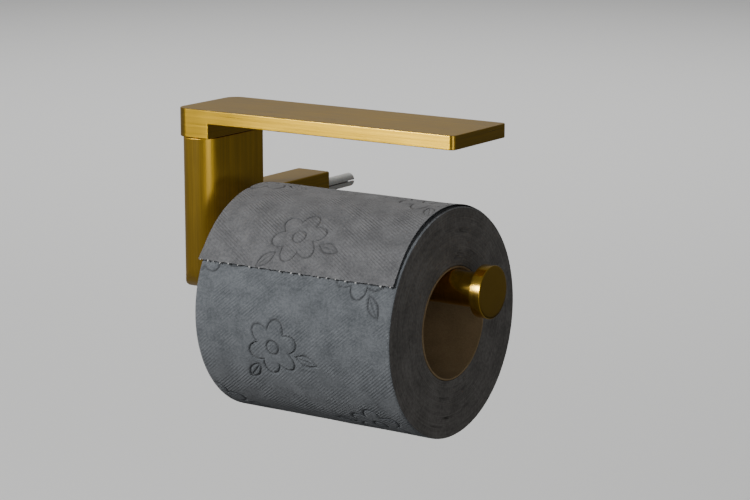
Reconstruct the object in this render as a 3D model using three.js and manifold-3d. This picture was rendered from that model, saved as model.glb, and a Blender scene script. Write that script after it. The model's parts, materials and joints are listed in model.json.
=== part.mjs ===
// Toilet paper holder with a shelf, in millimetres.
// The origin is the centre of the wall bracket's back face. +X runs right along the wall, +Y goes
// into the wall and +Z points up, so the holder stands out from the wall towards -Y.
import * as THREE from "three";
import { mergeVertices } from "three/addons/utils/BufferGeometryUtils.js";
import Module from "manifold-3d";

const wasm = await Module();
wasm.setup();

// ---- Driving dimensions ------------------------------------------------------------------------

// Gaps
const SEAM = 0.3; // between two faces that touch
const PIN_CLEARANCE = 0.2; // round a pin, stud or screw in its hole, on the radius
const HOLE_END = 0.4; // past the end of a pin, stud or screw in a blind hole

// Shelf and its leg
const SHELF_LENGTH = 143;
const SHELF_DEPTH = 42;
const SHELF_THICKNESS = 6;
const SHELF_LEFT_RADIUS = 6; // upright corners over the leg
const SHELF_RIGHT_RADIUS = 2.4; // upright corners at the free end
const LEG_WIDTH = 18;
const LEG_HEIGHT = 12.6; // from the top of the shelf to the seam

// Side plate
const PLATE_INSET = 0.3; // from the leg's faces
const PLATE_HEIGHT = 68.4;
const PLATE_FRONT_RADIUS = 8;
const PLATE_BACK_RADIUS = 2;
const PLATE_LOWER_RADIUS = 11.5; // lower corners in side view

// Wall post
const REACH = 91.5; // from the wall to the front of the shelf
const POST_WIDTH = 18;
const POST_HEIGHT = 29;
const POST_RADIUS = 0.8; // long edges
const POST_WALL = 3.2;
const POST_WEB = 6; // the closed front end, against the plate
const POST_BELOW_SHELF = 40; // from the top of the shelf to the top of the post

// Wall bracket and what fastens it
const BRACKET_THICKNESS = 10;
const WALL_SCREW_RADIUS = 1.9;
const WALL_SCREW_HEAD_RADIUS = 3.9;
const WALL_SCREW_HEAD_HEIGHT = 2.4;
const WALL_SCREW_LENGTH = 40;
const WALL_SCREW_POINT = 5;
const PLUG_WALL = 1.1;
const PLUG_LENGTH = 30;
const PLUG_COLLAR = 7.5; // the mouth stays whole; the rest is slit, so that it spreads
const PLUG_SLOT = 0.7;
const PLUG_PROUD = 0.8; // how far the plug's mouth stands out of the wall, into the bracket's recess
const GRUB_RADIUS = 1.9;
const GRUB_BITE = 2; // how deep it reaches into the bracket
const GRUB_INSET = 0.5; // from the underside of the post
const GRUB_HEX = 2; // across flats
const GRUB_HEX_DEPTH = 2;

// Screws from the post into the plate
const PLATE_SCREW_RADIUS = 2.4;
const PLATE_SCREW_HEAD_RADIUS = 4.2;
const PLATE_SCREW_HEAD_HEIGHT = 5;
const PLATE_SCREW_GRIP = 10; // in the plate
const PLATE_SCREW_HEX = 4;
const PLATE_SCREW_HEX_DEPTH = 2.5;

// Pins between the shelf's leg and the plate
const DOWEL_RADIUS = 2.5;
const DOWEL_GRIP = 10; // in each piece
const DOWEL_SPACING = 22;

// Rod, knob and their studs
const ROD_RADIUS = 7.5;
const ROD_LENGTH = 126.3; // from the plate to the knob
const ROD_BELOW_SHELF = 67.5; // from the top of the shelf to the rod's axis
const ROD_STUD_RADIUS = 3.9;
const ROD_STUD_GRIP = 11; // in each piece
const KNOB_RADIUS = 11.25;
const KNOB_THICKNESS = 5;
const KNOB_CHAMFER = 0.3;
const KNOB_STUD_RADIUS = 2.9;
const KNOB_STUD_GRIP = 3; // in the knob
const KNOB_STUD_ROD_GRIP = 8;

// Paper
const ROLL_WIDTH = 99;
const ROLL_RADIUS = 49.2; // under the loose sheet
const CORE_RADIUS = 23.5; // inside the tube
const CORE_THICKNESS = 0.8;
const ROLL_EDGE = 0.6; // chamfer of the wound edges
const SHEET_THICKNESS = 0.5;
const SHEET_SHIFT = 1.2; // how far the loose sheet has slipped to the left
const SHEET_TEAR_ANGLE = 28; // of its torn edge, above the horizontal at the front, in degrees
const SHEET_LENGTH = 124; // between two perforations

// Steps that round shapes are divided into
const ROUND_STEPS = 48;
const PAPER_STEPS = 96;
const CORNER_STEPS = 8;
const CUT_OVERRUN = 1; // how far a cutter passes the face that it opens

// ---- Places that follow from them --------------------------------------------------------------

const shelfTop = POST_BELOW_SHELF + POST_HEIGHT / 2;
const shelfLeft = -LEG_WIDTH / 2;
const shelfFront = -REACH;
const legBottom = shelfTop - LEG_HEIGHT;

const plateTop = legBottom - SEAM;
const plateBottom = plateTop - PLATE_HEIGHT;
const plateHalfWidth = LEG_WIDTH / 2 - PLATE_INSET;
const plateFront = shelfFront + PLATE_INSET;
const plateBack = shelfFront + SHELF_DEPTH - PLATE_INSET;
const plateMiddle = (plateFront + plateBack) / 2;

const postFront = plateBack + SEAM;
const pocketFront = postFront + POST_WEB;
const pocketWidth = POST_WIDTH - 2 * POST_WALL;
const pocketHeight = POST_HEIGHT - 2 * POST_WALL;

const rodHeight = shelfTop - ROD_BELOW_SHELF;
const rodLeft = plateHalfWidth + SEAM;
const rodRight = rodLeft + ROD_LENGTH;
const knobLeft = rodRight + SEAM;

const rollMiddle = (plateHalfWidth + knobLeft) / 2;
const rollHeight = rodHeight + ROD_RADIUS + SEAM - CORE_RADIUS; // the tube hangs on the rod

// ---- Solids ------------------------------------------------------------------------------------

function solidOf(geometry) {
  const bare = new THREE.BufferGeometry();
  bare.setAttribute("position", geometry.getAttribute("position"));
  bare.setIndex(geometry.getIndex());
  const merged = mergeVertices(bare, 1e-4);
  return new wasm.Manifold(
    new wasm.Mesh({
      numProp: 3,
      vertProperties: merged.getAttribute("position").array,
      triVerts: new Uint32Array(merged.getIndex().array),
    }),
  );
}

function geometryOf(solid) {
  const mesh = solid.getMesh();
  const geometry = new THREE.BufferGeometry();
  geometry.setAttribute("position", new THREE.BufferAttribute(mesh.vertProperties, 3));
  geometry.setIndex(new THREE.BufferAttribute(mesh.triVerts, 1));
  return geometry;
}

// Turns a shape that was made along +Z so that it runs along another axis.
const ALONG = {
  x: new THREE.Matrix4().makeBasis(
    new THREE.Vector3(0, 1, 0),
    new THREE.Vector3(0, 0, 1),
    new THREE.Vector3(1, 0, 0),
  ),
  y: new THREE.Matrix4().makeBasis(
    new THREE.Vector3(0, 0, 1),
    new THREE.Vector3(1, 0, 0),
    new THREE.Vector3(0, 1, 0),
  ),
  z: new THREE.Matrix4(),
};

function placed(geometry, axis, x, y, z) {
  geometry.applyMatrix4(ALONG[axis]);
  geometry.translate(x, y, z);
  return solidOf(geometry);
}

// A solid of revolution about an axis, from points (radius, height along the axis).
function turned(points, axis, [x, y, z], steps = ROUND_STEPS) {
  const outline = points.map(([radius, height]) => new THREE.Vector2(radius, height));
  const geometry = new THREE.LatheGeometry(outline, steps);
  geometry.rotateX(Math.PI / 2); // a lathe turns about +Y; this stands it on +Z
  return placed(geometry, axis, x, y, z);
}

function cylinder(radius, length, axis, start, steps = ROUND_STEPS) {
  const outline = [[0, 0], [radius, 0], [radius, length], [0, length]];
  return turned(outline, axis, start, steps);
}

function box(low, high) {
  const size = high.map((value, i) => value - low[i]);
  const geometry = new THREE.BoxGeometry(...size);
  geometry.translate(...low.map((value, i) => value + size[i] / 2));
  return solidOf(geometry);
}

// A rectangle with its own radius at each corner, in the order: low u low v, high u low v,
// high u high v, low u high v. Seen along axis, u and v are the other two axes in cyclic order.
function roundedOutline(lowU, lowV, highU, highV, radii) {
  const [a, b, c, d] = radii;
  const shape = new THREE.Shape();
  shape.moveTo(lowU + a, lowV);
  shape.lineTo(highU - b, lowV);
  if (b) shape.absarc(highU - b, lowV + b, b, -Math.PI / 2, 0, false);
  shape.lineTo(highU, highV - c);
  if (c) shape.absarc(highU - c, highV - c, c, 0, Math.PI / 2, false);
  shape.lineTo(lowU + d, highV);
  if (d) shape.absarc(lowU + d, highV - d, d, Math.PI / 2, Math.PI, false);
  shape.lineTo(lowU, lowV + a);
  if (a) shape.absarc(lowU + a, lowV + a, a, Math.PI, Math.PI * 1.5, false);
  return shape;
}

function extruded(shape, axis, from, to) {
  const geometry = new THREE.ExtrudeGeometry(shape, {
    depth: to - from,
    bevelEnabled: false,
    curveSegments: CORNER_STEPS,
  });
  geometry.translate(0, 0, from);
  return placed(geometry, axis, 0, 0, 0);
}

function outline(points) {
  return new THREE.Shape(points.map(([u, v]) => new THREE.Vector2(u, v)));
}

// A hexagon socket, cut along an axis from its mouth.
function hexSocket(acrossFlats, from, to, axis, [x, y, z]) {
  const radius = acrossFlats / Math.sqrt(3);
  const points = [];
  for (let i = 0; i < 6; i += 1) {
    const angle = (i * Math.PI) / 3;
    points.push([radius * Math.cos(angle), radius * Math.sin(angle)]);
  }
  return extruded(outline(points), axis, from, to).translate([x, y, z]);
}

// ---- Colours -----------------------------------------------------------------------------------

function material(color, roughness, metalness) {
  return new THREE.MeshStandardMaterial({ color, roughness, metalness });
}

const brass = material(0xb08a3a, 0.32, 1);
const steel = material(0x9a9c9e, 0.35, 1);
const nylon = material(0xb8b6ae, 0.6, 0);
const paper = material(0x55585c, 0.95, 0);
const cardboard = material(0x8a6f52, 0.9, 0);

const holder = new THREE.Group();

function add(name, solid, finish) {
  const mesh = new THREE.Mesh(geometryOf(solid), finish);
  mesh.name = name;
  holder.add(mesh);
}

// ---- Shelf and its pins ------------------------------------------------------------------------

const dowelPlaces = {
  front: plateMiddle - DOWEL_SPACING / 2,
  back: plateMiddle + DOWEL_SPACING / 2,
};

function shelf() {
  const right = shelfLeft + SHELF_LENGTH;
  const underside = shelfTop - SHELF_THICKNESS;
  const legRight = shelfLeft + LEG_WIDTH;
  // Seen along +Y the outline's axes are (Z, X).
  const sideView = outline([
    [legBottom, shelfLeft],
    [shelfTop, shelfLeft],
    [shelfTop, right],
    [underside, right],
    [underside, legRight],
    [legBottom, legRight],
  ]);
  const plan = roundedOutline(shelfLeft, shelfFront, right, shelfFront + SHELF_DEPTH, [
    SHELF_LEFT_RADIUS,
    SHELF_RIGHT_RADIUS,
    SHELF_RIGHT_RADIUS,
    SHELF_LEFT_RADIUS,
  ]);
  let solid = extruded(sideView, "y", shelfFront, shelfFront + SHELF_DEPTH);
  solid = solid.intersect(extruded(plan, "z", legBottom, shelfTop));
  for (const y of Object.values(dowelPlaces)) {
    const depth = DOWEL_GRIP + HOLE_END + CUT_OVERRUN;
    const start = [0, y, legBottom - CUT_OVERRUN];
    solid = solid.subtract(cylinder(DOWEL_RADIUS + PIN_CLEARANCE, depth, "z", start));
  }
  return solid;
}

add("shelf", shelf(), brass);

for (const [place, y] of Object.entries(dowelPlaces)) {
  const start = [0, y, plateTop - DOWEL_GRIP];
  add("shelf_dowel_" + place, cylinder(DOWEL_RADIUS, 2 * DOWEL_GRIP + SEAM, "z", start), steel);
}

// ---- Side plate --------------------------------------------------------------------------------

// Each screw sits in the middle of its half of the post's pocket.
const plateScrewHeights = {
  upper: pocketHeight / 4,
  lower: -pocketHeight / 4,
};

function sidePlate() {
  const plan = roundedOutline(-plateHalfWidth, plateFront, plateHalfWidth, plateBack, [
    PLATE_FRONT_RADIUS,
    PLATE_FRONT_RADIUS,
    PLATE_BACK_RADIUS,
    PLATE_BACK_RADIUS,
  ]);
  // Seen along +X the outline's axes are (Y, Z).
  const sideView = roundedOutline(plateFront, plateBottom, plateBack, plateTop, [
    PLATE_LOWER_RADIUS,
    PLATE_LOWER_RADIUS,
    0,
    0,
  ]);
  let solid = extruded(plan, "z", plateBottom, plateTop);
  solid = solid.intersect(extruded(sideView, "x", -plateHalfWidth, plateHalfWidth));
  for (const y of Object.values(dowelPlaces)) {
    const depth = DOWEL_GRIP + HOLE_END;
    const start = [0, y, plateTop - depth];
    solid = solid.subtract(cylinder(DOWEL_RADIUS + PIN_CLEARANCE, depth + CUT_OVERRUN, "z", start));
  }
  for (const z of Object.values(plateScrewHeights)) {
    const depth = PLATE_SCREW_GRIP + HOLE_END;
    const start = [0, plateBack - depth, z];
    const radius = PLATE_SCREW_RADIUS + PIN_CLEARANCE;
    solid = solid.subtract(cylinder(radius, depth + CUT_OVERRUN, "y", start));
  }
  const studDepth = ROD_STUD_GRIP + HOLE_END;
  const studStart = [plateHalfWidth - studDepth, plateMiddle, rodHeight];
  const studRadius = ROD_STUD_RADIUS + PIN_CLEARANCE;
  return solid.subtract(cylinder(studRadius, studDepth + CUT_OVERRUN, "x", studStart));
}

add("side_plate", sidePlate(), brass);

// ---- Wall post and the screws to the plate -----------------------------------------------------

function wallPost() {
  const halfHeight = POST_HEIGHT / 2;
  const halfWidth = POST_WIDTH / 2;
  const radii = [POST_RADIUS, POST_RADIUS, POST_RADIUS, POST_RADIUS];
  // Seen along +Y the outline's axes are (Z, X).
  const section = roundedOutline(-halfHeight, -halfWidth, halfHeight, halfWidth, radii);
  let solid = extruded(section, "y", postFront, 0);
  solid = solid.subtract(
    box(
      [-pocketWidth / 2, pocketFront, -pocketHeight / 2],
      [pocketWidth / 2, CUT_OVERRUN, pocketHeight / 2],
    ),
  );
  for (const z of Object.values(plateScrewHeights)) {
    const start = [0, postFront - CUT_OVERRUN, z];
    const length = POST_WEB + 2 * CUT_OVERRUN;
    solid = solid.subtract(cylinder(PLATE_SCREW_RADIUS + PIN_CLEARANCE, length, "y", start));
  }
  const grubStart = [0, -BRACKET_THICKNESS / 2, -halfHeight - CUT_OVERRUN];
  const grubHole = cylinder(GRUB_RADIUS + PIN_CLEARANCE, POST_WALL + 2 * CUT_OVERRUN, "z", grubStart);
  return solid.subtract(grubHole);
}

add("wall_post", wallPost(), brass);

function plateScrew(z) {
  const tip = plateBack - PLATE_SCREW_GRIP;
  const underHead = pocketFront + SEAM;
  const headEnd = underHead + PLATE_SCREW_HEAD_HEIGHT;
  const profile = [
    [0, 0],
    [PLATE_SCREW_RADIUS, 0],
    [PLATE_SCREW_RADIUS, underHead - tip],
    [PLATE_SCREW_HEAD_RADIUS, underHead - tip],
    [PLATE_SCREW_HEAD_RADIUS, headEnd - tip],
    [0, headEnd - tip],
  ];
  const socketFrom = headEnd - PLATE_SCREW_HEX_DEPTH;
  const socketTo = headEnd + CUT_OVERRUN;
  const socket = hexSocket(PLATE_SCREW_HEX, socketFrom, socketTo, "y", [0, 0, z]);
  return turned(profile, "y", [0, tip, z]).subtract(socket);
}

for (const [place, z] of Object.entries(plateScrewHeights)) {
  add("plate_screw_" + place, plateScrew(z), steel);
}

// ---- Wall bracket, its screws and plugs, and the grub screw ------------------------------------

const bracketHalfHeight = pocketHeight / 2 - SEAM;
const bracketHalfWidth = pocketWidth / 2 - SEAM;
const wallScrewHeights = {
  upper: bracketHalfHeight / 2,
  lower: -bracketHalfHeight / 2,
};
const plugInside = WALL_SCREW_RADIUS + PIN_CLEARANCE;
const plugOutside = plugInside + PLUG_WALL;
const grubBottom = -POST_HEIGHT / 2 + GRUB_INSET;
const grubTop = -bracketHalfHeight + GRUB_BITE;

// A countersunk hole's or head's profile along +Y, from its wide front end.
function countersunk(clearance, length) {
  const wide = WALL_SCREW_HEAD_RADIUS + clearance;
  const narrow = WALL_SCREW_RADIUS + clearance;
  return [[0, 0], [wide, 0], [narrow, WALL_SCREW_HEAD_HEIGHT], [narrow, length]];
}

function wallBracket() {
  let solid = box(
    [-bracketHalfWidth, -BRACKET_THICKNESS, -bracketHalfHeight],
    [bracketHalfWidth, 0, bracketHalfHeight],
  );
  for (const z of Object.values(wallScrewHeights)) {
    const length = BRACKET_THICKNESS + CUT_OVERRUN;
    const profile = [...countersunk(PIN_CLEARANCE, length), [0, length]];
    solid = solid.subtract(turned(profile, "y", [0, -BRACKET_THICKNESS, z]));
    const mouth = cylinder(
      WALL_SCREW_HEAD_RADIUS + PIN_CLEARANCE,
      CUT_OVERRUN,
      "y",
      [0, -BRACKET_THICKNESS - CUT_OVERRUN, z],
    );
    const recessDepth = PLUG_PROUD + SEAM;
    const recess = cylinder(plugOutside + SEAM, recessDepth + CUT_OVERRUN, "y", [0, -recessDepth, z]);
    solid = solid.subtract(mouth).subtract(recess);
  }
  const dimpleDepth = GRUB_BITE + SEAM;
  const dimpleStart = [0, -BRACKET_THICKNESS / 2, -bracketHalfHeight - CUT_OVERRUN];
  const dimple = cylinder(GRUB_RADIUS + PIN_CLEARANCE, dimpleDepth + CUT_OVERRUN, "z", dimpleStart);
  return solid.subtract(dimple);
}

add("wall_bracket", wallBracket(), steel);

function wallScrew(z) {
  const straight = WALL_SCREW_LENGTH - WALL_SCREW_POINT;
  const profile = [...countersunk(0, straight), [0, WALL_SCREW_LENGTH]];
  const slotHalf = WALL_SCREW_HEAD_RADIUS * 0.55;
  const slotWidth = WALL_SCREW_HEAD_RADIUS * 0.16;
  const slotDepth = WALL_SCREW_HEAD_HEIGHT * 0.6;
  const front = -BRACKET_THICKNESS;
  const crossBars = [
    [slotHalf, slotWidth],
    [slotWidth, slotHalf],
  ];
  let solid = turned(profile, "y", [0, front, z]);
  for (const [halfX, halfZ] of crossBars) {
    const low = [-halfX, front - CUT_OVERRUN, z - halfZ];
    solid = solid.subtract(box(low, [halfX, front + slotDepth, z + halfZ]));
  }
  return solid;
}

function wallPlug(z) {
  const start = -PLUG_PROUD;
  const end = start + PLUG_LENGTH;
  const bore = cylinder(plugInside, PLUG_LENGTH + 2 * CUT_OVERRUN, "y", [0, start - CUT_OVERRUN, z]);
  const slit = box(
    [-plugOutside - CUT_OVERRUN, start + PLUG_COLLAR, z - PLUG_SLOT / 2],
    [plugOutside + CUT_OVERRUN, end + CUT_OVERRUN, z + PLUG_SLOT / 2],
  );
  return cylinder(plugOutside, PLUG_LENGTH, "y", [0, start, z]).subtract(bore).subtract(slit);
}

for (const [place, z] of Object.entries(wallScrewHeights)) {
  add("wall_screw_" + place, wallScrew(z), steel);
  add("wall_plug_" + place, wallPlug(z), nylon);
}

function postGrub() {
  const y = -BRACKET_THICKNESS / 2;
  const body = cylinder(GRUB_RADIUS, grubTop - grubBottom, "z", [0, y, grubBottom]);
  const socketFrom = grubBottom - CUT_OVERRUN;
  const socket = hexSocket(GRUB_HEX, socketFrom, grubBottom + GRUB_HEX_DEPTH, "z", [0, y, 0]);
  return body.subtract(socket);
}

add("post_grub", postGrub(), steel);

// ---- Rod, knob and their studs -----------------------------------------------------------------

function rod() {
  const start = [rodLeft, plateMiddle, rodHeight];
  const studHole = ROD_STUD_GRIP + HOLE_END + CUT_OVERRUN;
  const knobHole = KNOB_STUD_ROD_GRIP + HOLE_END + CUT_OVERRUN;
  const studStart = [rodLeft - CUT_OVERRUN, plateMiddle, rodHeight];
  const knobStart = [rodRight + CUT_OVERRUN - knobHole, plateMiddle, rodHeight];
  return cylinder(ROD_RADIUS, ROD_LENGTH, "x", start)
    .subtract(cylinder(ROD_STUD_RADIUS + PIN_CLEARANCE, studHole, "x", studStart))
    .subtract(cylinder(KNOB_STUD_RADIUS + PIN_CLEARANCE, knobHole, "x", knobStart));
}

add("rod", rod(), brass);

const rodStudStart = [plateHalfWidth - ROD_STUD_GRIP, plateMiddle, rodHeight];
add("rod_stud", cylinder(ROD_STUD_RADIUS, 2 * ROD_STUD_GRIP + SEAM, "x", rodStudStart), steel);

function endKnob() {
  const inner = KNOB_RADIUS - KNOB_CHAMFER;
  const profile = [
    [0, 0],
    [inner, 0],
    [KNOB_RADIUS, KNOB_CHAMFER],
    [KNOB_RADIUS, KNOB_THICKNESS - KNOB_CHAMFER],
    [inner, KNOB_THICKNESS],
    [0, KNOB_THICKNESS],
  ];
  const hole = KNOB_STUD_GRIP + HOLE_END + CUT_OVERRUN;
  const start = [knobLeft - CUT_OVERRUN, plateMiddle, rodHeight];
  return turned(profile, "x", [knobLeft, plateMiddle, rodHeight]).subtract(
    cylinder(KNOB_STUD_RADIUS + PIN_CLEARANCE, hole, "x", start),
  );
}

add("end_knob", endKnob(), brass);

const knobStudStart = [rodRight - KNOB_STUD_ROD_GRIP, plateMiddle, rodHeight];
const knobStudLength = KNOB_STUD_ROD_GRIP + SEAM + KNOB_STUD_GRIP;
add("knob_stud", cylinder(KNOB_STUD_RADIUS, knobStudLength, "x", knobStudStart), steel);

// ---- Paper -------------------------------------------------------------------------------------

function ring(inside, outside, length, chamfer, start) {
  const profile = [
    [inside, 0],
    [outside - chamfer, 0],
    [outside, chamfer],
    [outside, length - chamfer],
    [outside - chamfer, length],
    [inside, length],
    [inside, 0],
  ];
  return turned(profile, "x", start, PAPER_STEPS);
}

const rollStart = [rollMiddle - ROLL_WIDTH / 2, plateMiddle, rollHeight];
const coreOutside = CORE_RADIUS + CORE_THICKNESS;
add("paper_core", ring(CORE_RADIUS, coreOutside, ROLL_WIDTH, CORE_THICKNESS / 4, rollStart), cardboard);
add("paper_roll", ring(coreOutside + SEAM, ROLL_RADIUS, ROLL_WIDTH, ROLL_EDGE, rollStart), paper);

// The outermost sheet: a curved strip that starts at the torn edge and goes up over the roll.
function looseSheet() {
  const inside = ROLL_RADIUS + SEAM;
  const outside = inside + SHEET_THICKNESS;
  const torn = Math.PI - THREE.MathUtils.degToRad(SHEET_TEAR_ANGLE);
  const far = torn - SHEET_LENGTH / outside;
  // Seen along +X the outline's axes are (Y, Z), and the front is at half a turn.
  const section = new THREE.Shape();
  section.absarc(0, 0, outside, far, torn, false);
  section.absarc(0, 0, inside, torn, far, true);
  section.closePath();
  const geometry = new THREE.ExtrudeGeometry(section, {
    depth: ROLL_WIDTH,
    bevelEnabled: false,
    curveSegments: PAPER_STEPS / 2,
  });
  const [x, y, z] = rollStart;
  return placed(geometry, "x", x - SHEET_SHIFT, y, z);
}

add("loose_sheet", looseSheet(), paper);

export default holder;
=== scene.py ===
# %% [markdown]
# # A brass toilet paper holder with a shelf
# The holder is a satin brass arm: a shelf with a short leg, a side plate under the leg, a round rod
# with an end disc, and a hollow post that hides the wall bracket. A grey paper roll hangs on the rod.
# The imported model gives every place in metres. Each visible piece is modelled again here with soft
# edges and real surface detail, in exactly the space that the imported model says.

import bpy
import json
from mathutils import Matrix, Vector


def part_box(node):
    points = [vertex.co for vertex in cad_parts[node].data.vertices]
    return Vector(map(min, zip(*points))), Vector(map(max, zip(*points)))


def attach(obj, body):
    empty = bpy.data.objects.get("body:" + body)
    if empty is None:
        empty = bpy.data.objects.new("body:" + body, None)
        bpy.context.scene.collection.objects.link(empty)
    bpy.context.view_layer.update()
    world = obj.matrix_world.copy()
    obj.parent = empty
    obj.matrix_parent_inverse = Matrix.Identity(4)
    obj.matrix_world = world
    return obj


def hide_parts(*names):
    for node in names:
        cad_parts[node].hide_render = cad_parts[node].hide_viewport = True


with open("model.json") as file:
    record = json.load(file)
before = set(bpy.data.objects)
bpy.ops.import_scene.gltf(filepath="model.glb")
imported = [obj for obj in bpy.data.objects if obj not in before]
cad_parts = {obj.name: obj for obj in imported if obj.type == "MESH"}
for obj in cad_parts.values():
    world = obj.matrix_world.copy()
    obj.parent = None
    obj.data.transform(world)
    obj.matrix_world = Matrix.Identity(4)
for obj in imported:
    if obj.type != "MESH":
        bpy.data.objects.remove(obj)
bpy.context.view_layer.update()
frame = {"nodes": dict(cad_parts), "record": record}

import json
import math
import random

import bmesh
import bpy
from mathutils import Vector, noise

MM = 0.001

# %% [markdown]
# ## Camera, floor and light
# A long lens stands to the right of the holder and looks slightly down on it. The floor is a plain
# pale sheet. Brass shows what it reflects, so one big soft light stands at the front left, where the
# shelf's front edge and the disc's rim mirror it. A second light above it shades the paper alone, a
# weaker one at the right keeps the roll's face from going black, and a dim one behind is seen only
# in the flat tops. The floor has its own light and doesn't show in the brass. A dark card at the back
# right, seen only in the brass, stands for the dim wall that such a holder hangs on.

# %% Camera
CAMERA_PLACE = (0.61568, -0.86712, 0.20122)
CAMERA_PITCH = 11.966
CAMERA_TURN = 33.823
CAMERA_LENS = 110.4

camera_data = bpy.data.cameras.new("camera")
camera_data.sensor_width = 36.0
camera_data.lens = CAMERA_LENS
camera = bpy.data.objects.new("camera", camera_data)
camera.location = CAMERA_PLACE
camera.rotation_euler = (math.radians(90 - CAMERA_PITCH), 0, math.radians(CAMERA_TURN))
bpy.context.scene.collection.objects.link(camera)
bpy.context.scene.camera = camera
print("camera at", CAMERA_PLACE)


# %% Helpers for materials
def new_material(name):
    """A material with its shader, and a function that adds a node with its settings."""
    material = bpy.data.materials.new(name)
    material.use_nodes = True
    tree = material.node_tree
    shader = tree.nodes["Principled BSDF"]

    def add(kind, inputs=None, **settings):
        made = tree.nodes.new(kind)
        for key, value in settings.items():
            setattr(made, key, value)
        for key, value in (inputs or {}).items():
            if isinstance(value, bpy.types.NodeSocket):
                tree.links.new(value, made.inputs[key])
            else:
                made.inputs[key].default_value = value
        return made

    return material, shader, add, tree.links.new


def ramp(add, factor, stops):
    """A colour ramp through (position, colour) stops."""
    made = add("ShaderNodeValToRGB", {"Fac": factor})
    elements = made.color_ramp.elements
    while len(elements) < len(stops):
        elements.new(0.5)
    for element, (position, colour) in zip(elements, stops):
        element.position = position
        element.color = (*colour, 1)
    return made.outputs["Color"]


def remap(add, value, low, high):
    """A value from 0 to 1, stretched to run from low to high."""
    made = add("ShaderNodeMapRange", {"Value": value, "To Min": low, "To Max": high})
    return made.outputs["Result"]


# %% Floor and light
FLOOR_HEIGHT = -0.32

bpy.ops.object.select_all(action="DESELECT")
bpy.ops.mesh.primitive_plane_add(size=14, location=(0, 0, FLOOR_HEIGHT))
floor = bpy.context.object
floor.name = "floor"
floor_paint, shader, add, link = new_material("floor_paint")
shader.inputs["Base Color"].default_value = (0.78, 0.78, 0.77, 1)
shader.inputs["Roughness"].default_value = 0.9
shader.inputs["Specular IOR Level"].default_value = 0.1
floor.data.materials.append(floor_paint)
floor.visible_glossy = False
floor.visible_diffuse = False

LIGHT_TARGET = Vector((0.06, -0.07, 0.0))


def soft_light(name, direction, distance, width, height, power):
    """A rectangular soft light that faces the holder and isn't seen itself."""
    data = bpy.data.lights.new(name, "AREA")
    data.shape = "RECTANGLE"
    data.size = width
    data.size_y = height
    data.energy = power
    lamp = bpy.data.objects.new(name, data)
    away = Vector(direction).normalized()
    lamp.location = LIGHT_TARGET + away * distance
    lamp.rotation_euler = away.to_track_quat("Z", "Y").to_euler()
    lamp.visible_camera = False
    bpy.context.scene.collection.objects.link(lamp)
    return lamp


key_light = soft_light("front_left", (-0.56, -0.80, 0.31), 1.1, 0.50, 0.30, 15)
key_light.location += Vector((0.22, -0.10, 0))
key_light.visible_diffuse = False
upper_front = soft_light("upper_front", (-0.42, -0.80, 0.50), 1.2, 0.4, 0.4, 16)
upper_front.visible_glossy = False
soft_light("fill_right", (0.9, -0.5, 0.1), 1.4, 0.8, 0.8, 3.1)
behind_left = soft_light("behind_left", (-0.55, 0.81, 0.30), 1.4, 1.3, 0.9, 0.25)
behind_left.visible_diffuse = False
floor_light = soft_light("over_the_floor", (0, 0, 1), 1.6, 3.0, 3.0, 60)
floor_light.location = (-1.3, 1.9, 1.6)
floor_light.visible_glossy = False

bpy.ops.object.select_all(action="DESELECT")
bpy.ops.mesh.primitive_plane_add(size=1.5, location=(0.75, 0.85, 0.0))
dark_card = bpy.context.object
dark_card.name = "dark_card"
dark_card.rotation_euler = Vector((-0.75, -0.9, 0.1)).to_track_quat("Z", "Y").to_euler()
card_paint, shader, add, link = new_material("card_paint")
shader.inputs["Base Color"].default_value = (0.10, 0.10, 0.10, 1)
shader.inputs["Roughness"].default_value = 1.0
dark_card.data.materials.append(card_paint)
dark_card.visible_camera = False
dark_card.visible_diffuse = False
dark_card.visible_shadow = False

world = bpy.data.worlds.new("room")
world.use_nodes = True
world.node_tree.nodes["Background"].inputs["Color"].default_value = (0.34, 0.34, 0.345, 1)
world.node_tree.nodes["Background"].inputs["Strength"].default_value = 0.42
bpy.context.scene.world = world


# %% [markdown]
# ## Helpers for modelling
# Each piece starts as a primitive at its size and place, then faces or edges are picked by where they
# are and extruded, bevelled or inset. A finished piece has its object at the origin.

# %% Starting, selecting and finishing a piece
def begin(name):
    """Names the primitive that was just added and puts its place into its mesh."""
    piece = bpy.context.object
    piece.name = name
    piece.data.name = name
    bpy.ops.object.transform_apply(location=True, rotation=True, scale=True)
    return piece


def start_box(name, low, high):
    """A box between two corners, in metres."""
    bpy.ops.object.select_all(action="DESELECT")
    low, high = Vector(low), Vector(high)
    bpy.ops.mesh.primitive_cube_add(size=1, location=(low + high) / 2)
    bpy.context.object.scale = high - low
    return begin(name)


def start_rod(name, low_x, high_x, centre, radius, steps):
    """A round bar along X."""
    bpy.ops.object.select_all(action="DESELECT")
    place = ((low_x + high_x) / 2, centre[0], centre[1])
    bpy.ops.mesh.primitive_cylinder_add(
        vertices=steps, radius=radius, depth=high_x - low_x, location=place,
        rotation=(0, math.pi / 2, 0),
    )
    return begin(name)


def pick(piece, kind, test):
    """In edit mode, selects only the faces, edges or vertices that pass the test."""
    bpy.ops.mesh.select_mode(type={"faces": "FACE", "edges": "EDGE", "verts": "VERT"}[kind])
    bpy.ops.mesh.select_all(action="DESELECT")
    mesh = bmesh.from_edit_mesh(piece.data)
    found = [element for element in getattr(mesh, kind) if test(element)]
    for element in found:
        element.select_set(True)
    mesh.select_flush_mode()
    bmesh.update_edit_mesh(piece.data)
    return len(found)


def middle(edge):
    """The middle point of an edge."""
    return (edge.verts[0].co + edge.verts[1].co) / 2


def runs_along(edge, axis):
    """Whether an edge runs along an axis: 0 for X, 1 for Y, 2 for Z."""
    way = edge.verts[1].co - edge.verts[0].co
    return abs(way[axis]) > 0.999 * way.length


def near(a, b, reach=0.00005):
    """Whether two lengths are the same."""
    return abs(a - b) < reach


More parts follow.
